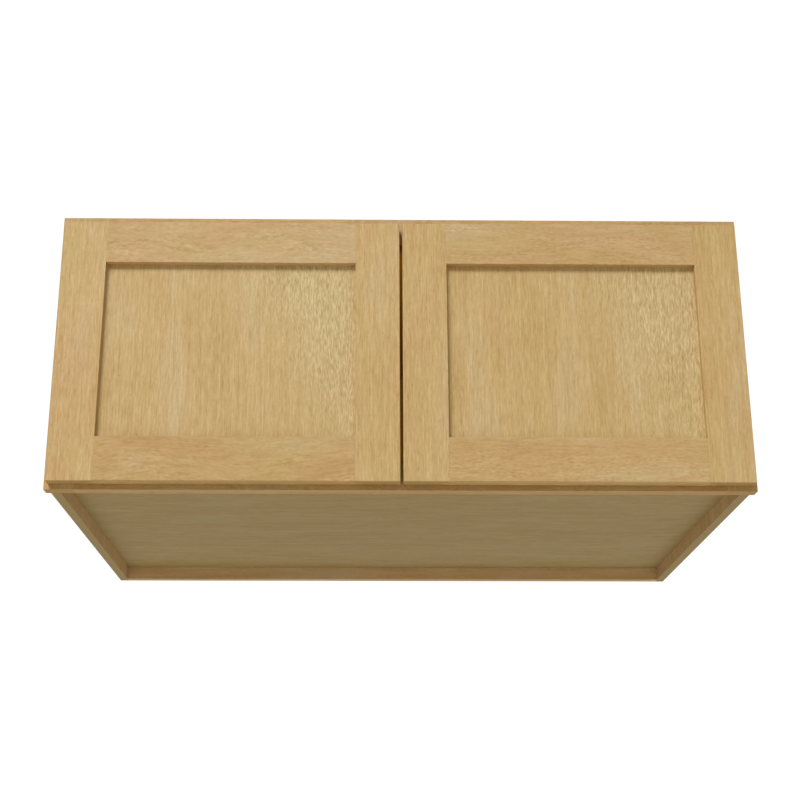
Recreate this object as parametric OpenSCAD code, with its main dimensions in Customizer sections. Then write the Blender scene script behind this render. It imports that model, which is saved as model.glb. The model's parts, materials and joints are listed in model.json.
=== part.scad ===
// Hanging wall cabinet with a face frame and two full-overlay doors.
// Millimetres, +Z up. The wall plane is Y = 0 and the cabinet stands out from it towards -Y.
// The origin is the centre of the four wall screw holes, in the wall plane.

/* [Cabinet] */
// Overall width, across the face frame
cabinet_w = 914.4; // [762:0.1:1066.8]
// Overall height
cabinet_h = 381; // [330.2:0.1:457.2]
// Overall depth, from the wall to the front of the doors
cabinet_d = 609.6; // [304.8:0.1:635]
// Thickness of the side panels
side_t = 12.7; // [11:0.1:19]
// Thickness of the top panel
top_t = 12.7; // [11:0.1:19]
// Thickness of the bottom panel
bottom_t = 19.05; // [11:0.05:19.05]
// Thickness of the back panel
back_t = 4.8; // [3:0.1:6.4]
// How far the top and bottom panels lie in from the ends of the side panels
panel_recess = 19.05; // [12:0.05:19.05]
// Depth of the dadoes and grooves in the side panels
dado_depth = 6.35; // [4:0.05:6.35]

/* [Face frame] */
// Width of the face frame's stiles and rails
frame_w = 38.1; // [38.1:0.1:44.5]
// Thickness of the face frame
frame_t = 19.05; // [18:0.05:20]
// How far the face frame stands past each side panel
frame_overhang = 6.35; // [3:0.05:8]

/* [Hanging rails] */
// Height of the hanging rails
hanging_rail_h = 76.2; // [70:0.1:101.6]
// Thickness of the hanging rails
hanging_rail_t = 15.9; // [15.5:0.1:19]
// Sideways distance between the wall screw holes
stud_spacing = 406.4; // [406.4:0.1:609.6]
// Height of the wall screw holes from the ends of the cabinet
wall_hole_inset = 57.15; // [50:0.05:60]
// Diameter of the wall screw holes
wall_hole_d = 5; // [4:0.1:6]

/* [Doors] */
// Thickness of the doors
door_t = 18; // [17:0.1:20]
// Air between the back of a closed door and the face frame
bumper_gap = 1.05; // [1:0.05:1.5]
// Face frame left showing beside each door
side_reveal = 5.1; // [4:0.1:6.4]
// Face frame left showing above the doors
top_reveal = 14.5; // [6:0.1:18]
// Face frame left showing below the doors
bottom_reveal = 6.8; // [5:0.1:18]
// Gap where the two doors meet
meeting_gap = 3.9; // [3:0.1:5]
// Width of the door stiles and rails
member_w = 58.7; // [55:0.1:70]
// Depth of the door panel behind the front of its frame
panel_setback = 9.5; // [6:0.1:10]
// Thickness of the door panel
panel_t = 5.5; // [4:0.1:6]
// Depth of the groove that holds the door panel
groove_depth = 9.5; // [8:0.1:12]
// Air left round the panel's edge in its groove, so that the wood can move
panel_float = 0.8; // [0.5:0.1:1.5]
// Diameter of the bumpers
bumper_d = 8.5; // [7:0.1:10]
// Thickness of the bumpers
bumper_t = 0.7; // [0.4:0.05:0.75]

/* [Hinges] */
// Distance from each end of a door to its hinge
hinge_inset = 80; // [78:1:100]
// Diameter of the hinge cup and its hole
cup_d = 35; // [35:1:35]
// Distance from the door's edge to the cup
cup_edge = 3; // [3:0.1:4]
// Depth of the cup
cup_depth = 13; // [12.5:0.1:13.5]
// Thickness of the cup's wall
cup_wall = 1.1; // [0.8:0.1:1.2]
// Thickness of the cup's flange, on the back of the door
flange_t = 0.7; // [0.5:0.05:0.75]
// Distance between the two screws of a cup
cup_screw_spacing = 45; // [45:1:48]
// Thickness of the hinge arm's cheeks
cheek_t = 1.6; // [1.2:0.1:1.8]
// Width of the hinge link
link_w = 7; // [5:0.1:7]
// Diameter of the hinge pins
pin_d = 2.5; // [2:0.1:2.6]
// Air between a pin and the link that turns on it
pin_clearance = 0.05; // [0.02:0.01:0.1]

/* [Hidden] */
$fn = 48;

// Main planes of the cabinet
half_w = cabinet_w / 2;
half_h = cabinet_h / 2;
frame_front = -(cabinet_d - door_t - bumper_gap);
frame_back = frame_front + frame_t;
side_outer = half_w - frame_overhang;
side_inner = side_outer - side_t;
back_front = -(hanging_rail_t + back_t);
bottom_low = -half_h + panel_recess;
bottom_high = bottom_low + bottom_t;
top_high = half_h - panel_recess;
top_low = top_high - top_t;
opening_half_w = half_w - frame_w;

// Doors. Each is drawn on the left and mirrored for the right
door_edge = -half_w + side_reveal;
door_w = half_w - side_reveal - meeting_gap / 2;
door_low = -half_h + bottom_reveal;
door_high = half_h - top_reveal;
door_h = door_high - door_low;
door_back = frame_front - bumper_gap;
door_front = door_back - door_t;
groove_front = door_front + panel_setback;
tongue = groove_depth - panel_float;

// Hinge cup. The hinge's own frame starts at the door's outer edge, in the front plane of the face frame
hinge_heights = [door_low + hinge_inset, door_high - hinge_inset];
stile_edge = frame_w - side_reveal;
cup_x = cup_edge + cup_d / 2;
cup_inner_r = cup_d / 2 - cup_wall;
cup_floor_t = 1;
flange_r = 19;
wing_setback = 9.5;
wing_x = cup_x + wing_setback;
wing_w = 12;

// Pins and links. The cup's pin ends just short of the cup's outer wall
cup_pin = [8, -4.5];
arm_pin = [23, -10];
pin_end_gap = 0.1;
cup_pin_offset = cup_x - cup_pin.x + pin_d / 2;
cup_pin_half_l = sqrt(pow(cup_d / 2, 2) - pow(cup_pin_offset, 2)) - pin_end_gap;
link_eye_r = 2.3;
link_bar_w = 3.4;
link_rise = 2;
arc_steps = 12;

// Hinge arms: the cheeks reach from the base plate on the stile's edge to the arm's pin in the cup
arm_gap = 0.3;
arm_eye_r = 2.4;
arm_front_y = -11.8;
arm_back_y = -7.6;
arm_heel = [2, -6];
cheek_z = link_w / 2 + arm_gap;
arm_half_w = cheek_z + cheek_t;
base_t = 1.5;
base_half_h = 21;
base_r = 7;
base_screw_y = 9.5;
base_screw_z = base_half_h - base_r;
cheek_back_y = base_screw_y + 5.5;
neck_y = 0.3;

// Closing springs, coiled on the cup's pin
spring_wire_r = 0.35;
spring_coil_r = 1.75;
spring_turns = 4;
spring_pitch = 0.62;
spring_leg_gap = 0.05;

// Bumpers: how far each stands in from the door's free edge and from its ends, and their taper
bumper_inset_x = 20;
bumper_inset_z = 12;
bumper_rim_t = 0.3;
bumper_top_d = 5;

// Pocket screws, and the pocket holes that they lie in
pocket_tilt = 15;
pocket_r = 4.75;
pocket_reach = 70;
pocket_head_r = 4;
pocket_head_t = 2.4;
pocket_shank_r = 1.8;
frame_screw_seat = 16;
frame_screw_l = 31;
frame_screw_spread = 9.5;
rail_screw_seat = 12;
rail_screw_l = 19;
rail_screw_spread = 25;

// Hinge screws
wood_screw_r = 1.9;
pan_head_r = 3.6;
pan_top_r = 2.4;
pan_rim_t = 1.4;
pan_head_t = 2.1;
arm_screw_l = 16;
flat_head_r = 3.7;
flat_head_t = 2.2;
cup_screw_l = 13;

// Cross recesses in the screw heads
slot_w = 0.8;
slot_l = 3.6;
slot_depth = 1.2;

oak = [0.78, 0.66, 0.46];
oak_ply = [0.74, 0.62, 0.43];
plywood = [0.80, 0.70, 0.53];
nickel = [0.72, 0.71, 0.68];
zinc = [0.80, 0.78, 0.70];
clear_rubber = [0.88, 0.88, 0.85];

// ---------- helpers ----------

// A board between two opposite corners
module board(low, high) {
    translate(low) cube(high - low);
}

// Draws its children on the left, or mirrored on the right
module on_side(side) {
    if (side == "right") mirror([1, 0, 0]) children();
    else children();
}

// Puts its children at the two hinges of the left door, in the hinge's own frame
module at_hinges() {
    for (z = hinge_heights) translate([door_edge, frame_front, z]) children();
}

// Two crossed slots in the top of a screw head that faces +Z
module cross_recess() {
    for (turn = [0, 90]) rotate(turn) translate([-slot_l / 2, -slot_w / 2, -slot_depth])
        cube([slot_l, slot_w, slot_depth + 1]);
}

// A pocket screw along +Z, its head's seat at z = 0
module pocket_screw(length) {
    difference() {
        union() {
            cylinder(r = pocket_shank_r, h = length);
            translate([0, 0, -pocket_head_t]) cylinder(r = pocket_head_r, h = pocket_head_t);
        }
        translate([0, 0, -pocket_head_t]) mirror([0, 0, 1]) cross_recess();
    }
}

// Turns +Z into the direction of a pocket screw: along +X, leaning to the front
module along_pocket(seat) {
    rotate([0, 0, -pocket_tilt]) rotate([0, 90, 0]) translate([0, 0, -seat]) children();
}

// The hole that a pocket screw lies in, with its shank's hole
module pocket_hole(length) {
    cylinder(r = pocket_shank_r, h = length);
    translate([0, 0, -pocket_reach]) cylinder(r = pocket_r, h = pocket_reach);
}

// Places of the face frame's pocket screws: two at each end of each rail
module at_frame_pockets() {
    mid = (frame_front + frame_back) / 2;
    rail_z = half_h - frame_w / 2;
    for (end = [0, 1], z = [-rail_z, rail_z], dz = [-1, 1] * frame_screw_spread)
        mirror([end, 0, 0]) translate([opening_half_w, mid, z + dz])
            along_pocket(frame_screw_seat) children();
}

// Places of the hanging rails' pocket screws: two at each end of each rail
module at_rail_pockets() {
    rail_z = half_h - hanging_rail_h / 2;
    for (end = [0, 1], z = [-rail_z, rail_z], dz = [-1, 1] * rail_screw_spread)
        mirror([end, 0, 0]) translate([side_inner, -hanging_rail_t / 2, z + dz])
            along_pocket(rail_screw_seat) children();
}

// The four wall screw holes, through the hanging rails and the back panel
module wall_holes() {
    for (x = [-1, 1] * stud_spacing / 2, z = [-1, 1] * (half_h - wall_hole_inset))
        translate([x, 1, z]) rotate([90, 0, 0]) cylinder(d = wall_hole_d, h = hanging_rail_t + back_t + 2);
}

// ---------- cabinet box ----------

// Side panel with a dado for the top and bottom panels and a groove for the back panel
module side_panel(side) {
    on_side(side) color(oak_ply) difference() {
        board([-side_outer, frame_back, -half_h], [-side_inner, 0, half_h]);
        board([-side_inner - dado_depth, frame_back - 1, bottom_low], [0, -hanging_rail_t, bottom_high]);
        board([-side_inner - dado_depth, frame_back - 1, top_low], [0, -hanging_rail_t, top_high]);
        board([-side_inner - dado_depth, back_front, bottom_low], [0, -hanging_rail_t, top_high]);
        hanging_rail_screws();
    }
}

// Panel that runs from dado to dado and from the face frame to a hanging rail
module level_panel(low, high) {
    x = side_inner + dado_depth;
    color(oak_ply) board([-x, frame_back, low], [x, -hanging_rail_t, high]);
}

module back_panel() {
    x = side_inner + dado_depth;
    color(oak_ply) difference() {
        board([-x, back_front, bottom_high], [x, -hanging_rail_t, top_low]);
        wall_holes();
    }
}

// Rail between the side panels that takes two of the wall screws
module hanging_rail(low) {
    color(plywood) difference() {
        board([-side_inner, -hanging_rail_t, low], [side_inner, 0, low + hanging_rail_h]);
        wall_holes();
        at_rail_pockets() pocket_hole(rail_screw_l);
    }
}

module hanging_rail_screws() {
    color(zinc) at_rail_pockets() pocket_screw(rail_screw_l);
}

// ---------- face frame ----------

module face_frame_stile(side) {
    on_side(side) color(oak) difference() {
        board([-half_w, frame_front, -half_h], [-opening_half_w, frame_back, half_h]);
        face_frame_screws();
        arm_screws("left");
    }
}

module face_frame_rail(low) {
    color(oak) difference() {
        board([-opening_half_w, frame_front, low], [opening_half_w, frame_back, low + frame_w]);
        at_frame_pockets() pocket_hole(frame_screw_l);
    }
}

module face_frame_screws() {
    color(zinc) at_frame_pockets() pocket_screw(frame_screw_l);
}

// ---------- doors ----------

// Groove along the inner edge of a door member, between two X or Z limits
module door_groove(x0, x1, z0, z1) {
    board([x0, groove_front, z0], [x1, groove_front + panel_t, z1]);
}

module hinge_stile(side) {
    inner = door_edge + member_w;
    on_side(side) color(oak) difference() {
        board([door_edge, door_front, door_low], [inner, door_back, door_high]);
        door_groove(inner - groove_depth, inner + 1, door_low - 1, door_high + 1);
        at_hinges() translate([cup_x, -bumper_gap + 1, 0]) rotate([90, 0, 0])
            cylinder(d = cup_d, h = cup_depth + 1);
        at_hinges() cup_screw_shapes();
    }
}

module lock_stile(side) {
    inner = door_edge + door_w - member_w;
    on_side(side) color(oak) difference() {
        board([inner, door_front, door_low], [inner + member_w, door_back, door_high]);
        door_groove(inner - 1, inner + groove_depth, door_low - 1, door_high + 1);
    }
}

// Door rail with a tongue at each end, in the stiles' grooves, and a groove for the panel
module door_rail(side, low, groove_low) {
    x0 = door_edge + member_w;
    x1 = door_edge + door_w - member_w;
    on_side(side) color(oak) difference() {
        union() {
            board([x0, door_front, low], [x1, door_back, low + member_w]);
            door_groove(x0 - groove_depth, x1 + groove_depth, low, low + member_w);
        }
        door_groove(
            x0 - groove_depth - 1, x1 + groove_depth + 1,
            groove_low, groove_low + groove_depth + 1
        );
    }
}

module door_top_rail(side) {
    low = door_high - member_w;
    door_rail(side, low, low - 1);
}

module door_bottom_rail(side) {
    door_rail(side, door_low, door_low + member_w - groove_depth);
}

module door_panel(side) {
    on_side(side) color(oak_ply) board(
        [door_edge + member_w - tongue, groove_front, door_low + member_w - tongue],
        [door_edge + door_w - member_w + tongue, groove_front + panel_t, door_high - member_w + tongue]
    );
}

// Low round pads near the free corners, tapered towards the face frame
module door_bumpers(side) {
    on_side(side) color(clear_rubber)
        for (z = [door_low + bumper_inset_z, door_high - bumper_inset_z])
            translate([door_edge + door_w - bumper_inset_x, door_back, z]) rotate([-90, 0, 0]) {
                cylinder(d = bumper_d, h = bumper_rim_t);
                translate([0, 0, bumper_rim_t])
                    cylinder(d1 = bumper_d, d2 = bumper_top_d, h = bumper_t - bumper_rim_t);
            }
}

// ---------- hinges ----------

// Outline of the hinge link: a bar bent to an arc, with an eye at each end
module link_outline() {
    span = arm_pin - cup_pin;
    length = norm(span);
    arc_r = (length * length / 4 + link_rise * link_rise) / (2 * link_rise);
    half_turn = asin(length / 2 / arc_r);
    translate(cup_pin) rotate(atan2(span.y, span.x)) {
        difference() {
            union() {
                polygon([
                    for (i = [0 : arc_steps]) let (a = 90 - half_turn + 2 * half_turn * i / arc_steps)
                        [length / 2, arc_r - link_rise] + (arc_r + link_bar_w / 2) * [cos(a), -sin(a)],
                    for (i = [0 : arc_steps]) let (a = 90 + half_turn - 2 * half_turn * i / arc_steps)
                        [length / 2, arc_r - link_rise] + (arc_r - link_bar_w / 2) * [cos(a), -sin(a)]
                ]);
                circle(r = link_eye_r);
                translate([length, 0]) circle(r = link_eye_r);
            }
            circle(r = pin_d / 2 + pin_clearance);
            translate([length, 0]) circle(r = pin_d / 2 + pin_clearance);
        }
    }
}

module hinge_links(side) {
    on_side(side) color(nickel) at_hinges() translate([0, 0, -link_w / 2])
        linear_extrude(link_w) link_outline();
}

// Side view of one cheek of the hinge arm: from the stile's edge into the cup and up to the pin
module cheek_outline() {
    difference() {
        union() {
            polygon([
                [stile_edge, cheek_back_y], [stile_edge + arm_heel.x, cheek_back_y],
                [stile_edge + arm_heel.x, arm_heel.y], [stile_edge - 1, arm_front_y],
                arm_pin - [0, arm_eye_r], arm_pin + [0, arm_eye_r],
                [stile_edge - 1, arm_back_y], [stile_edge, arm_back_y + 1.5]
            ]);
            translate(arm_pin) circle(r = arm_eye_r);
        }
        translate(arm_pin) circle(d = pin_d);
    }
}

// Hinge arm: a base plate on the stile's inner edge with two cheeks that reach into the cup
module hinge_arm() {
    difference() {
        union() {
            for (z = [-arm_half_w, cheek_z]) translate([0, 0, z]) linear_extrude(cheek_t) cheek_outline();
            translate([stile_edge, 0, 0]) rotate([0, 90, 0]) linear_extrude(base_t) base_outline();
        }
        for (z = [-1, 1] * base_screw_z) translate([stile_edge - 1, base_screw_y, z])
            rotate([0, 90, 0]) cylinder(r = wood_screw_r, h = base_t + 2);
    }
}

// Base plate with rounded ends, seen along its thickness
module base_outline() {
    for (z = [-1, 1] * base_screw_z) translate([z, base_screw_y]) circle(r = base_r);
    translate([-base_screw_z, base_screw_y - base_r]) square([2 * base_screw_z, 2 * base_r]);
    translate([-arm_half_w, neck_y]) square([2 * arm_half_w, base_screw_y]);
}

module hinge_arms(side) {
    on_side(side) color(nickel) at_hinges() hinge_arm();
}

module arm_pins(side) {
    on_side(side) color(nickel) at_hinges() translate([arm_pin.x, arm_pin.y, -arm_half_w])
        cylinder(d = pin_d, h = 2 * arm_half_w);
}

// Pan head screws that hold the arms on the stile
module arm_screws(side) {
    on_side(side) color(zinc) at_hinges()
        for (z = [-1, 1] * base_screw_z)
            translate([stile_edge + base_t, base_screw_y, z]) rotate([0, 90, 0]) difference() {
                union() {
                    translate([0, 0, -arm_screw_l]) cylinder(r = wood_screw_r, h = arm_screw_l);
                    cylinder(r = pan_head_r, h = pan_rim_t);
                    translate([0, 0, pan_rim_t])
                        cylinder(r1 = pan_head_r, r2 = pan_top_r, h = pan_head_t - pan_rim_t);
                }
                translate([0, 0, pan_head_t]) cross_recess();
            }
}

// Cup with its flange and two screw wings, open towards the face frame
module hinge_cup() {
    difference() {
        union() {
            translate([cup_x, -bumper_gap, 0]) rotate([90, 0, 0]) cylinder(d = cup_d, h = cup_depth);
            translate([0, -bumper_gap + flange_t, 0]) rotate([90, 0, 0])
                linear_extrude(flange_t) flange_outline();
        }
        translate([cup_x, 1, 0]) rotate([90, 0, 0])
            cylinder(r = cup_inner_r, h = 1 + bumper_gap + cup_depth - cup_floor_t);
        translate([cup_pin.x, cup_pin.y, -cup_d / 2]) cylinder(d = pin_d, h = cup_d);
        cup_screw_shapes();
    }
}

module flange_outline() {
    translate([cup_x, 0]) circle(r = flange_r);
    for (z = [-1, 1] * cup_screw_spacing / 2) translate([wing_x, z]) circle(d = wing_w);
    translate([wing_x - wing_w / 2, -cup_screw_spacing / 2]) square([wing_w, cup_screw_spacing]);
}

module hinge_cups(side) {
    on_side(side) color(nickel) at_hinges() hinge_cup();
}

// Pin across the cup, held in the cup's wall
module cup_pins(side) {
    on_side(side) color(nickel) at_hinges() translate([cup_pin.x, cup_pin.y, -cup_pin_half_l])
        cylinder(d = pin_d, h = 2 * cup_pin_half_l);
}

// Coil on the pin beside the link, with a leg down to the cup's floor
module spring_coil() {
    leg_l = cup_depth - cup_floor_t + bumper_gap + cup_pin.y - spring_leg_gap;
    for (i = [0 : spring_turns - 1]) translate([0, 0, i * spring_pitch])
        rotate_extrude() translate([spring_coil_r, 0]) circle(r = spring_wire_r, $fn = 24);
    translate([spring_coil_r, 0, 0]) rotate([90, 0, 0]) cylinder(r = spring_wire_r, h = leg_l);
}

module hinge_springs(side) {
    on_side(side) color(nickel) at_hinges() translate(cup_pin)
        for (end = [0, 1]) mirror([0, 0, end]) translate([0, 0, cheek_z + spring_wire_r]) spring_coil();
}

// Countersunk screws of one cup, flush with the flange
module cup_screw_shapes() {
    for (z = [-1, 1] * cup_screw_spacing / 2)
        translate([wing_x, -bumper_gap + flange_t, z]) rotate([90, 0, 0]) {
            cylinder(r1 = flat_head_r, r2 = wood_screw_r, h = flat_head_t);
            cylinder(r = wood_screw_r, h = cup_screw_l);
        }
}

module cup_screws(side) {
    on_side(side) color(zinc) at_hinges() difference() {
        cup_screw_shapes();
        for (z = [-1, 1] * cup_screw_spacing / 2) translate([wing_x, -bumper_gap + flange_t, z])
            rotate([-90, 0, 0]) cross_recess();
    }
}

// ---------- nodes ----------

side_panel("left");  // left_side_panel
side_panel("right");  // right_side_panel
level_panel(top_low, top_high);  // top_panel
level_panel(bottom_low, bottom_high);  // bottom_panel
back_panel();
hanging_rail(half_h - hanging_rail_h);  // upper_hanging_rail
hanging_rail(-half_h);  // lower_hanging_rail
face_frame_stile("left");  // face_frame_left_stile
face_frame_stile("right");  // face_frame_right_stile
face_frame_rail(half_h - frame_w);  // face_frame_top_rail
face_frame_rail(-half_h);  // face_frame_bottom_rail
face_frame_screws();
hanging_rail_screws();
hinge_arms("left");  // left_hinge_arms
arm_screws("left");  // left_arm_screws
arm_pins("left");  // left_arm_pins
hinge_links("left");  // left_hinge_links
hinge_stile("left");  // left_door_hinge_stile
lock_stile("left");  // left_door_lock_stile
door_top_rail("left");  // left_door_top_rail
door_bottom_rail("left");  // left_door_bottom_rail
door_panel("left");  // left_door_panel
hinge_cups("left");  // left_hinge_cups
cup_screws("left");  // left_cup_screws
cup_pins("left");  // left_cup_pins
hinge_springs("left");  // left_hinge_springs
door_bumpers("left");  // left_door_bumpers
hinge_arms("right");  // right_hinge_arms
arm_screws("right");  // right_arm_screws
arm_pins("right");  // right_arm_pins
hinge_links("right");  // right_hinge_links
hinge_stile("right");  // right_door_hinge_stile
lock_stile("right");  // right_door_lock_stile
door_top_rail("right");  // right_door_top_rail
door_bottom_rail("right");  // right_door_bottom_rail
door_panel("right");  // right_door_panel
hinge_cups("right");  // right_hinge_cups
cup_screws("right");  // right_cup_screws
cup_pins("right");  // right_cup_pins
hinge_springs("right");  // right_hinge_springs
door_bumpers("right");  // right_door_bumpers
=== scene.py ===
"""Looks of the hanging wall cabinet: materials, eased edges, lights and camera around the CAD frame."""

import json
import math

import bpy
from mathutils import Matrix, Vector


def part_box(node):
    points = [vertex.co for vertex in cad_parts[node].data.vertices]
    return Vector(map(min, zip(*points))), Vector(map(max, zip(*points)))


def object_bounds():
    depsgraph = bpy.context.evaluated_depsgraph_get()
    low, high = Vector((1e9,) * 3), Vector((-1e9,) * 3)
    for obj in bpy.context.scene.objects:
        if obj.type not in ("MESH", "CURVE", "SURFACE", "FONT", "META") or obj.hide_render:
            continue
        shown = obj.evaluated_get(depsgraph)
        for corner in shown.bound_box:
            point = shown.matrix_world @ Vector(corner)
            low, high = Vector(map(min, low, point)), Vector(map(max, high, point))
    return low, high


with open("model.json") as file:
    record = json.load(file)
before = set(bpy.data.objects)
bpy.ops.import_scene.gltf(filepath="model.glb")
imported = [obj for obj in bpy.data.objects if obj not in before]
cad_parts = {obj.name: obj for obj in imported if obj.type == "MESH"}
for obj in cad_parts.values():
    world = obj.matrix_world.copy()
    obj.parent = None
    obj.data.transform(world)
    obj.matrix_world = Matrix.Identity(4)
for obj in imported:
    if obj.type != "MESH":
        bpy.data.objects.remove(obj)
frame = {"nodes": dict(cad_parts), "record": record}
cad_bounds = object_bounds()

NODES = frame["nodes"]
SLOTS = {part["node"]: part["material_slot"] for part in frame["record"]["subparts"]}
DOORS = ("left_door", "right_door")
MM = 0.001

# ---------------------------------------------------------------- node trees


class Tree:
    """A short way to write a material's node tree."""

    def __init__(self, name):
        self.material = bpy.data.materials.new(name)
        self.material.use_nodes = True
        self.nodes = self.material.node_tree.nodes
        self.links = self.material.node_tree.links
        self.shader = self.nodes["Principled BSDF"]

    def add(self, kind, **settings):
        node = self.nodes.new(kind)
        for key, value in settings.items():
            setattr(node, key, value)
        return node

    def put(self, socket, value):
        """Links value to the socket if it is a socket, or else sets it."""
        if isinstance(value, bpy.types.NodeSocket):
            self.links.new(value, socket)
        else:
            socket.default_value = value

    def shade(self, name, value):
        """Gives the shader's input of this name a value that varies over the surface."""
        self.put(self.shader.inputs[name], value)

    def uniform(self, **values):
        """Values that are the same all over, set on the shader's own sockets."""
        for key, value in values.items():
            self.shader.inputs[key.replace("_", " ")].default_value = value

    def place(self, output="Object"):
        return self.add("ShaderNodeTexCoord").outputs[output]

    def split(self, vector):
        """The three numbers of a vector."""
        node = self.add("ShaderNodeSeparateXYZ")
        self.put(node.inputs[0], vector)
        return node.outputs

    def join(self, *numbers):
        """The vector of three numbers."""
        node = self.add("ShaderNodeCombineXYZ")
        for socket, number in zip(node.inputs, numbers):
            self.put(socket, number)
        return node.outputs[0]

    def vector(self, operation, first, second):
        node = self.add("ShaderNodeVectorMath", operation=operation)
        self.put(node.inputs[0], first)
        self.put(node.inputs[1], second)
        return node.outputs[0]

    def tint(self, color, factor):
        """Color times a factor."""
        node = self.add("ShaderNodeVectorMath", operation="SCALE")
        self.put(node.inputs[0], color)
        self.put(node.inputs["Scale"], factor)
        return node.outputs[0]

    def uneven(self, color, noise, spread, middle=1.0):
        """Color whose lightness varies with the noise, by the spread in all, round the middle."""
        return self.tint(color, self.math("MULTIPLY_ADD", noise, spread, middle - spread / 2))

    def math(self, operation, *values):
        node = self.add("ShaderNodeMath", operation=operation)
        for socket, value in zip(node.inputs, values):
            self.put(socket, value)
        return node.outputs[0]

    def total(self, *values):
        """The values added up."""
        result = values[0]
        for value in values[1:]:
            result = self.math("ADD", result, value)
        return result

    def swing(self, value, amount, middle=0.5):
        """Value less its middle, times an amount, so that it lightens about as much as it darkens."""
        return self.math("MULTIPLY_ADD", value, amount, -amount * middle)

    def noise(self, vector, scale, detail=2.0, roughness=0.5):
        """Noise from 0 to 1 whose scale is features per metre along each axis of the vector."""
        node = self.add("ShaderNodeTexNoise")
        self.put(node.inputs["Vector"], self.vector("MULTIPLY", vector, scale))
        node.inputs["Scale"].default_value = 1.0
        node.inputs["Detail"].default_value = detail
        node.inputs["Roughness"].default_value = roughness
        return node.outputs[0]

    def step(self, value, ramp, to_low=0.0, to_high=1.0):
        """Smooth rise from to_low to to_high while value goes from the ramp's low end to its high end."""
        node = self.add("ShaderNodeMapRange", interpolation_type="SMOOTHSTEP")
        for socket, number in zip(node.inputs, (value, *ramp, to_low, to_high)):
            self.put(socket, number)
        return node.outputs[0]

    def mix(self, factor, first, second):
        """Blend of two colours."""
        node = self.add("ShaderNodeMix", data_type="RGBA")
        self.put(node.inputs["Factor"], factor)
        self.put(node.inputs[6], first)
        self.put(node.inputs[7], second)
        return node.outputs[2]

    def blend(self, factor, first, second):
        """Blend of two numbers."""
        node = self.add("ShaderNodeMix", data_type="FLOAT")
        self.put(node.inputs["Factor"], factor)
        self.put(node.inputs[2], first)
        self.put(node.inputs[3], second)
        return node.outputs[0]

    def bump(self, height, strength, distance):
        node = self.add("ShaderNodeBump")
        node.inputs["Strength"].default_value = strength
        node.inputs["Distance"].default_value = distance
        self.put(node.inputs["Height"], height)
        self.shade("Normal", node.outputs[0])


# ---------------------------------------------------------------- wood

# Light oak under a satin lacquer: the hues that it drifts between, and its darker parts
OAK_GOLD = (0.592, 0.404, 0.162, 1.0)
OAK_PINK = (0.602, 0.388, 0.167, 1.0)
OAK_OLIVE = (0.586, 0.420, 0.196, 1.0)
OAK_PALE = (0.606, 0.457, 0.214, 1.0)
OAK_PORE = (0.290, 0.170, 0.065, 1.0)
END_GRAIN = (0.436, 0.268, 0.094)
EDGE_BAND = (0.315, 0.240, 0.088)
# What a lighter streak adds to the colour and a darker one takes away
OAK_GLOW = (0.515, 0.512, 0.366)

# Features to a metre in each layer of the wood, along, across and through the grain
BENDS = (6.0, 11.0, 11.0)
RIPPLES = (38.0, 60.0, 60.0)
HUES = (9.0, 24.0, 24.0)
CLOUDS = (5.0, 22.0, 22.0)
PATCHES = (13.0, 45.0, 45.0)
THREADS = (12.0, 620.0, 620.0)
FLECKS = (105.0, 640.0, 640.0)
FIBRES = (60.0, 1100.0, 1100.0)
PORES = (150.0, 2300.0, 2300.0)
SPECKS = (300.0, 900.0, 900.0)
# Bands have this share of the streaks' features, along and across
BAND_ALONG = 0.22
BAND_ACROSS = 0.42

# Noise values between which pink, olive, patches of streaks, pale threads and pores come in
PINK_RAMP = (0.60, 0.86)
OLIVE_RAMP = (0.50, 0.72)
PATCH_RAMP = (0.42, 0.62)
THREAD_RAMP = (0.56, 0.72)
PORE_RAMP = (0.59, 0.69)
# How far a look's pink lowers its ramp, how olive the wood gets, and the streaks off a patch and in one
PINK_SHIFT = 0.3
OLIVE_MOST = 0.8
PATCH_STREAKS = (0.55, 1.5)

# How far the layers that every board has swing its lightness
BAND_SWING = 0.26
FIBRE_SWING = 0.16
RING_SWING = 0.03
# How strongly pores darken the wood, and how much more so in early wood
PORE_DEPTH = 0.20
RING_PORES = 0.34

# Ray fleck: its strength against the streaks that it replaces, the noise value at which it changes nothing,
# and how far it ripples
FLECK_GAIN = 2.5
FLECK_MIDDLE = 0.484
FLECK_RIPPLE = 6.0 * MM
# Where a panel is figured: how much its height and the drift count beside its width, and how pale it gets
FIGURE_RISE = 0.35
FIGURE_DRIFT = 0.6
FIGURE_CLOUDS = (7.0, 7.0, 7.0)
FIGURE_RAMP = (0.88, 1.46)
FIGURE_PALENESS = 0.8

# Growth rings: how far off the board their pith lies, in metres, their spacing and how far they waver
PITH = (0.31, 0.05)
RING_PITCH = 5.2 * MM
RING_WAVER = 22.0 * MM
RING_BENDS = (2.2, 9.0, 9.0)

# How squarely a surface faces along the grain where it turns into an end, and an end's look: how uneven
# its sawn colour is and how much it covers
END_RAMP = (0.75, 0.95)
END_UNEVEN = 0.3
END_COVER = 0.85

# Satin lacquer: roughness of the darkest streaks and how much glossier the lightest are
DULLEST = 0.64
STREAK_GLOSS = 0.16
# Relief of the surface, its strength in the shading, and the share that each layer has in it
RELIEF = 0.3 * MM
RELIEF_STRENGTH = 0.22
STREAK_RELIEF = 0.6
PORE_RELIEF = 0.6
FIBRE_RELIEF = 0.3

# Object axes that lie along, across and through the grain, and how far one board's pattern is from the next
GRAIN_ORDER = {"X": (0, 2, 1), "Y": (1, 0, 2), "Z": (2, 0, 1)}
BOARD_STEP = (0.731, 1.173, 0.397)


def grain_coordinates(tree, grain, seed):
    """Object coordinates as along, across and through the grain, moved to a place of the piece's own."""
    axes = tree.split(tree.place())
    turned = tree.join(*(axes[axis] for axis in GRAIN_ORDER[grain]))
    return tree.vector("ADD", turned, tuple(step * seed for step in BOARD_STEP))


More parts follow.
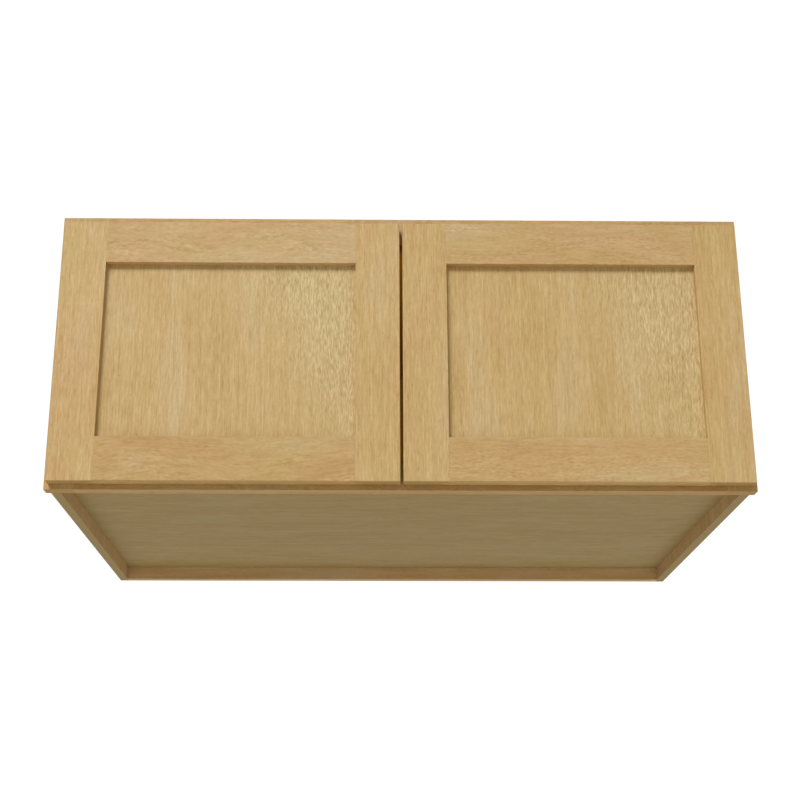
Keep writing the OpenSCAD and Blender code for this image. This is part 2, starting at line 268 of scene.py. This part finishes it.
def sway(tree, along, spread, amount):
    """The same coordinates with the grain pushed sideways in soft waves."""
    bend = tree.noise(along, spread, detail=1.0)
    return tree.vector("ADD", along, tree.join(0.0, tree.math("MULTIPLY", bend, amount), 0.0))


def growth_rings(tree, along):
    """Growth rings, from 0 in late wood to 1 in early wood, that waver round a pith off the board."""
    warp = tree.noise(along, RING_BENDS)
    axes = tree.split(along)
    across = tree.math("ADD", axes[1], PITH[0])
    through = tree.math("ADD", axes[2], PITH[1])
    squares = tree.total(tree.math("MULTIPLY", across, across), tree.math("MULTIPLY", through, through))
    radius = tree.total(tree.math("SQRT", squares), tree.math("MULTIPLY", warp, RING_WAVER))
    wave = tree.math("SINE", tree.math("MULTIPLY", radius, 2 * math.pi / RING_PITCH))
    return tree.math("MULTIPLY_ADD", wave, 0.5, 0.5)


def end_grain(tree, grain):
    """1 where the surface cuts across the grain."""
    normal = tree.split(tree.place("Normal"))
    facing = tree.math("ABSOLUTE", normal[GRAIN_ORDER[grain][0]])
    return tree.step(facing, END_RAMP)


def figure_mask(tree, box):
    """How strongly the veneer is figured, 0 to 1: most towards the panel's right edge and its top."""
    place = tree.place()
    axes = tree.split(place)
    low, high = box
    width = high[0] - low[0]
    height = high[2] - low[2]
    right = tree.math("MULTIPLY_ADD", axes[0], 1 / width, -low[0] / width)
    rise = tree.math("MULTIPLY_ADD", axes[2], 1 / height, -low[2] / height)
    drift = tree.math("MULTIPLY", tree.noise(place, FIGURE_CLOUDS), FIGURE_DRIFT)
    reach = tree.total(tree.math("MULTIPLY_ADD", rise, FIGURE_RISE, right), drift)
    return tree.step(reach, FIGURE_RAMP)


def oak_hue(tree, straight, drift, pink):
    """Colour of the wood before its streaks: gold that turns pink in places and olive in others."""
    hue = tree.noise(straight, HUES, detail=1.0)
    ramp = [end - PINK_SHIFT * pink for end in PINK_RAMP]
    color = tree.mix(tree.step(hue, ramp), OAK_GOLD, OAK_PINK)
    return tree.mix(tree.step(drift, OLIVE_RAMP, to_high=OLIVE_MOST), color, OAK_OLIVE)


def streaks(tree, along, line, contrast, waves, thread):
    """Lightness of the streaks, which come in patches where the grain waves, and of long pale threads."""
    light = tree.swing(line, contrast)
    if waves:
        patch = tree.step(tree.noise(along, PATCHES, detail=1.0), PATCH_RAMP, *PATCH_STREAKS)
        light = tree.math("MULTIPLY", light, patch)
    pale = tree.step(tree.noise(along, THREADS, detail=1.0), THREAD_RAMP, to_high=thread)
    return tree.total(light, pale)


def ray_fleck(tree, straight, contrast):
    """Lightness of short rippled flecks."""
    rippled = sway(tree, straight, RIPPLES, FLECK_RIPPLE)
    fleck = tree.noise(rippled, FLECKS, detail=1.5, roughness=0.6)
    return tree.swing(fleck, contrast * FLECK_GAIN, FLECK_MIDDLE)


def oak(name, grain, seed, streak, contrast, pink, thread, waves=0.0, clouds=0.28,
        tone=(1.0, 1.0, 1.0), sawn=END_GRAIN, figured=None):
    """Lacquered oak whose grain runs along the axis grain.

    streak is how many streaks there are to a metre, along and across the grain, and contrast how strong
    they are; pink is how readily it turns pink; thread is how light its long thin threads are; waves is how
    far its grain sways, in metres; clouds is how far its broad patches swing; tone multiplies its colour;
    sawn is the colour of its ends; figured is the box of a panel with ray fleck."""
    tree = Tree(name)
    straight = grain_coordinates(tree, grain, seed)
    along = sway(tree, straight, BENDS, waves) if waves else straight
    length, width = streak
    line = tree.noise(along, (length, width, width), detail=1.5, roughness=0.55)
    band = tree.noise(along, (length * BAND_ALONG, width * BAND_ACROSS, width * BAND_ACROSS), detail=1.0)
    drift = tree.noise(along, CLOUDS)
    fibre = tree.noise(along, FIBRES, detail=1.0)
    pore = tree.step(tree.noise(along, PORES, detail=1.0), PORE_RAMP)
    rings = growth_rings(tree, along)

    color = oak_hue(tree, straight, drift, pink)
    light = streaks(tree, along, line, contrast, waves, thread)
    if figured:
        mask = figure_mask(tree, figured)
        light = tree.blend(mask, light, ray_fleck(tree, straight, contrast))
        color = tree.mix(tree.math("MULTIPLY", mask, FIGURE_PALENESS), color, OAK_PALE)
    light = tree.total(
        light,
        tree.swing(band, BAND_SWING),
        tree.swing(drift, clouds),
        tree.swing(fibre, FIBRE_SWING),
        tree.swing(rings, RING_SWING),
    )
    color = tree.vector("MULTIPLY", tree.vector("ADD", color, tree.tint(OAK_GLOW, light)), tone)
    depth = tree.math("MULTIPLY", pore, tree.math("MULTIPLY_ADD", rings, RING_PORES, PORE_DEPTH))
    color = tree.mix(depth, color, OAK_PORE)
    ends = tree.uneven(sawn, tree.noise(straight, SPECKS), END_UNEVEN)
    cut = tree.math("MULTIPLY", end_grain(tree, grain), END_COVER)
    tree.shade("Base Color", tree.mix(cut, color, ends))
    tree.shade("Roughness", tree.math("MULTIPLY_ADD", line, -STREAK_GLOSS, DULLEST))
    tree.uniform(Specular_IOR_Level=0.35, Coat_Weight=0.05, Coat_Roughness=0.4)
    raised = tree.math("MULTIPLY", line, STREAK_RELIEF)
    sunk = tree.math("MULTIPLY", pore, PORE_RELIEF)
    height = tree.math("MULTIPLY_ADD", fibre, FIBRE_RELIEF, tree.math("SUBTRACT", raised, sunk))
    tree.bump(height, RELIEF_STRENGTH, RELIEF)
    return tree.material


# ---------------------------------------------------------------- metal and plastic

# Features to a metre
ROLLED = (900.0, 60.0, 900.0)
TUMBLED = (400.0, 400.0, 400.0)
DRAWN = (300.0, 1500.0, 300.0)
METAL_CLOUDS = (70.0, 70.0, 70.0)
PLASTIC_CLOUDS = (500.0, 500.0, 500.0)


def metal(name, color, roughness, brush=ROLLED):
    """Plated steel with fine marks of its making and slightly uneven gloss."""
    tree = Tree(name)
    place = tree.place()
    marks = tree.noise(place, brush)
    cloud = tree.noise(place, METAL_CLOUDS, detail=3.0)
    tree.shade("Base Color", tree.uneven(color, cloud, spread=0.16))
    tree.shade("Roughness", tree.math("MULTIPLY_ADD", cloud, 0.14, roughness))
    tree.uniform(Metallic=1.0)
    tree.bump(marks, strength=0.12, distance=0.05 * MM)
    return tree.material


def soft_plastic(name, color, roughness):
    """Clear soft plastic."""
    tree = Tree(name)
    cloud = tree.noise(tree.place(), PLASTIC_CLOUDS)
    tree.shade("Base Color", tree.uneven(color, cloud, spread=0.1, middle=0.98))
    tree.shade("Roughness", tree.math("MULTIPLY_ADD", cloud, 0.1, roughness))
    tree.uniform(Transmission_Weight=0.4, IOR=1.45)
    return tree.material


# ---------------------------------------------------------------- which node is made of what

STILE = dict(streak=(58.0, 540.0), contrast=0.46, pink=0.4, thread=0.09, clouds=0.20)
RAIL = dict(
    streak=(150.0, 410.0), contrast=0.385, waves=0.035, pink=0.9, thread=0.05, tone=(0.965, 0.962, 0.950),
)
VENEER = dict(
    streak=(56.0, 470.0), contrast=0.47, pink=0.0, thread=0.10, clouds=0.20, tone=(0.995, 1.0, 1.01),
)
SMOOTH = dict(streak=(14.0, 180.0), contrast=0.24, pink=0.2, thread=0.0, tone=(0.90, 0.90, 0.92))
PLYWOOD = dict(SMOOTH, tone=(1.00, 1.03, 1.28))
UNDERSIDE = dict(SMOOTH, streak=(60.0, 330.0), clouds=0.10, tone=(0.606, 0.652, 0.652))
SIDE = dict(streak=(20.0, 240.0), contrast=0.22, pink=0.2, thread=0.03, sawn=EDGE_BAND)
FRAME_STILE = dict(STILE, tone=(0.96, 0.93, 0.87))

# Each wood node's grain axis and look; boards of one look differ a little in tone, and the right side's
# darker tone is painted shade
WOOD = {
    # The two sides are alike: the right one's darker tone is painted shade, standing in for the shade on
    # its inner face under the cabinet
    "left_side_panel": ("Z", dict(SIDE, tone=(0.95, 0.95, 1.16))),
    "right_side_panel": ("Z", dict(SIDE, tone=(0.90, 0.88, 1.06))),
    "top_panel": ("X", SMOOTH),
    "bottom_panel": ("X", UNDERSIDE),
    "back_panel": ("X", SMOOTH),
    "upper_hanging_rail": ("X", PLYWOOD),
    "lower_hanging_rail": ("X", PLYWOOD),
    "face_frame_left_stile": ("Z", FRAME_STILE),
    "face_frame_right_stile": ("Z", FRAME_STILE),
    "face_frame_top_rail": ("X", dict(RAIL, tone=(0.97, 0.93, 0.84))),
    "face_frame_bottom_rail": ("X", dict(RAIL, tone=(0.87, 0.83, 0.755))),
    "left_door_bottom_rail": ("X", dict(RAIL, tone=(0.932, 0.912, 0.865))),
    "right_door_bottom_rail": ("X", RAIL),
}
for door in DOORS:
    WOOD[door + "_hinge_stile"] = ("Z", STILE)
    WOOD[door + "_lock_stile"] = ("Z", STILE)
    WOOD[door + "_top_rail"] = ("X", dict(RAIL, tone=(0.965, 0.962, 0.985)))
    WOOD[door + "_panel"] = ("Z", dict(VENEER, figured=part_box(door + "_panel")))


def set_material(node, material):
    node.data.materials.clear()
    node.data.materials.append(material)


for seed, (name, (grain, look)) in enumerate(sorted(WOOD.items()), start=1):
    set_material(NODES[name], oak(name + "_oak", grain, seed, **look))

OTHER = {
    "nickel_steel": metal("nickel_plate", (0.62, 0.605, 0.565), roughness=0.26),
    "zinc_screw": metal("zinc_plate", (0.66, 0.64, 0.56), roughness=0.32, brush=TUMBLED),
    "clear_bumper": soft_plastic("clear_soft_plastic", (0.80, 0.80, 0.77), roughness=0.25),
    "spring_steel": metal("spring_wire", (0.40, 0.385, 0.36), roughness=0.34, brush=DRAWN),
}
for name, node in NODES.items():
    if name not in WOOD:
        set_material(node, OTHER[SLOTS[name]])

# ---------------------------------------------------------------- eased edges

# Radius on the outline of a door, of the face frame or of a side, and the share of it on their other edges
EASE = 1.0 * MM
INNER_SHARE = 0.25
# Edges shorter than this stay sharp
SHORTEST_EASED = 6.0 * MM
# How near the assembly's box an edge on its outline lies, and how near each other two points become one
ON_OUTLINE = 0.05 * MM
WELD = 0.01 * MM


def weigh_edges(node, low, high):
    """Full ease for edges on the outline of the box low..high, and a share of it for the others."""
    mesh = node.data
    weights = mesh.attributes.new("bevel_weight_edge", "FLOAT", "EDGE")
    for edge in mesh.edges:
        ends = [mesh.vertices[i].co for i in edge.vertices]
        if (ends[0] - ends[1]).length < SHORTEST_EASED:
            continue
        sides = sum(
            all(abs(end[axis] - side[axis]) < ON_OUTLINE for end in ends)
            for axis in range(3) for side in (low, high)
        )
        weights.data[edge.index].value = 1.0 if sides >= 2 else INNER_SHARE


def ease(names):
    """Rounds the edges of the wood nodes that make up one assembly."""
    boxes = [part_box(name) for name in names]
    low = [min(box[0][axis] for box in boxes) for axis in range(3)]
    high = [max(box[1][axis] for box in boxes) for axis in range(3)]
    for name in names:
        node = NODES[name]
        weigh_edges(node, low, high)
        weld = node.modifiers.new("weld", "WELD")
        weld.merge_threshold = WELD
        bevel = node.modifiers.new("ease", "BEVEL")
        bevel.limit_method = "WEIGHT"
        bevel.width = EASE
        bevel.segments = 3
        bevel.use_clamp_overlap = True
        bevel.harden_normals = False


for assembly in DOORS + ("face_frame", "left_side_panel", "right_side_panel"):
    ease([name for name in WOOD if name.startswith(assembly)])

# ---------------------------------------------------------------- floor and lights

FLOOR_SIZE = 16.0
FLOOR_DROP = 1.45
FLOOR_COLOR = (0.71, 0.65, 0.55)
# The lights that stand off the cabinet face this point on its front
CENTER = Vector((0.0, -0.6, 0.0))
WHITE = (1.0, 1.0, 1.0)
WARM = (1.0, 0.57, 0.06)
# Height on a unit sphere, 0 at the horizon, from which the surround is as strong as at its zenith
ZENITH_FROM = 0.5


def make_floor():
    """Wide pale floor well below the hung cabinet."""
    level = cad_bounds[0][2] - FLOOR_DROP
    bpy.ops.mesh.primitive_plane_add(size=FLOOR_SIZE, location=(0.0, 0.0, level))
    floor = bpy.context.object
    floor.name = "floor"
    tree = Tree("pale_floor")
    cloud = tree.noise(tree.place(), (1.5, 1.5, 1.5), detail=3.0)
    tree.shade("Base Color", tree.uneven(FLOOR_COLOR, cloud, spread=0.04))
    tree.uniform(Roughness=0.8)
    floor.data.materials.append(tree.material)


def make_world(horizon, zenith, seen):
    """White surround that lights from its horizon up to its zenith; the camera sees it as plain white."""
    world = bpy.data.worlds.new("studio")
    world.use_nodes = True
    bpy.context.scene.world = world
    nodes = world.node_tree.nodes
    links = world.node_tree.links
    background = nodes["Background"]
    background.inputs["Color"].default_value = (*WHITE, 1.0)
    split = nodes.new("ShaderNodeSeparateXYZ")
    links.new(nodes.new("ShaderNodeTexCoord").outputs["Generated"], split.inputs[0])
    rise = nodes.new("ShaderNodeMapRange")
    rise.inputs["From Max"].default_value = ZENITH_FROM
    rise.inputs["To Min"].default_value = horizon
    rise.inputs["To Max"].default_value = zenith
    links.new(split.outputs[2], rise.inputs["Value"])
    path = nodes.new("ShaderNodeLightPath")
    strength = nodes.new("ShaderNodeMapRange")
    strength.inputs["To Max"].default_value = seen
    links.new(rise.outputs["Result"], strength.inputs["To Min"])
    links.new(path.outputs["Is Camera Ray"], strength.inputs["Value"])
    links.new(strength.outputs["Result"], background.inputs["Strength"])


def area_light(name, place, target, size, power, color=WHITE):
    """Soft box of size (width, height) that faces the target and that the camera doesn't see."""
    light = bpy.data.lights.new(name, "AREA")
    light.shape = "RECTANGLE"
    light.size, light.size_y = size
    light.energy = power
    light.color = color
    holder = bpy.data.objects.new(name, light)
    holder.location = place
    holder.rotation_euler = (Vector(target) - Vector(place)).to_track_quat("-Z", "Y").to_euler()
    holder.visible_camera = False
    bpy.context.scene.collection.objects.link(holder)


def studio_light(name, direction, distance, size, power):
    """Soft box that stands off the cabinet in the given direction and faces it."""
    place = CENTER + Vector(direction).normalized() * distance
    area_light(name, place, CENTER, size, power)


make_floor()
make_world(horizon=0.12, zenith=0.55, seen=1.05)
studio_light("key", direction=(-0.44, -1.0, 0.80), distance=12.0, size=(4.6, 3.9), power=876.0)
studio_light("rim", direction=(0.7, 1.0, 0.6), distance=6.0, size=(3.0, 3.0), power=110.0)
# Just behind the face frame: it gives the gap between the closed doors its brown
area_light("inside", (0.0, -0.565, 0.0), (0.0, 0.0, 0.0), size=(0.80, 0.28), power=0.36, color=WARM)

# ---------------------------------------------------------------- camera

SENSOR = 36.0
LENS = 65.043
LENS_SHIFT = (0.0191, -0.0324)
CAMERA_PLACE = (-0.0485, -2.3833, -0.6627)
CAMERA_YAW = math.radians(0.860)
CAMERA_PITCH = math.radians(19.353)
CAMERA_ROLL = math.radians(-0.052)


def make_camera():
    """Camera in front of the cabinet and below it, looking up at it."""
    data = bpy.data.cameras.new("camera")
    data.sensor_width = SENSOR
    data.lens = LENS
    data.shift_x, data.shift_y = LENS_SHIFT
    data.clip_end = 60.0
    camera = bpy.data.objects.new("camera", data)
    forward = Vector((
        math.sin(CAMERA_YAW) * math.cos(CAMERA_PITCH),
        math.cos(CAMERA_YAW) * math.cos(CAMERA_PITCH),
        math.sin(CAMERA_PITCH),
    ))
    level = Vector((math.cos(CAMERA_YAW), -math.sin(CAMERA_YAW), 0.0))
    upright = level.cross(forward)
    right = level * math.cos(CAMERA_ROLL) + upright * math.sin(CAMERA_ROLL)
    up = upright * math.cos(CAMERA_ROLL) - level * math.sin(CAMERA_ROLL)
    turn = Matrix((right, up, -forward)).transposed().to_4x4()
    camera.matrix_world = Matrix.Translation(CAMERA_PLACE) @ turn
    bpy.context.scene.collection.objects.link(camera)
    bpy.context.scene.camera = camera


make_camera()
bpy.context.scene.view_settings.view_transform = "Standard"
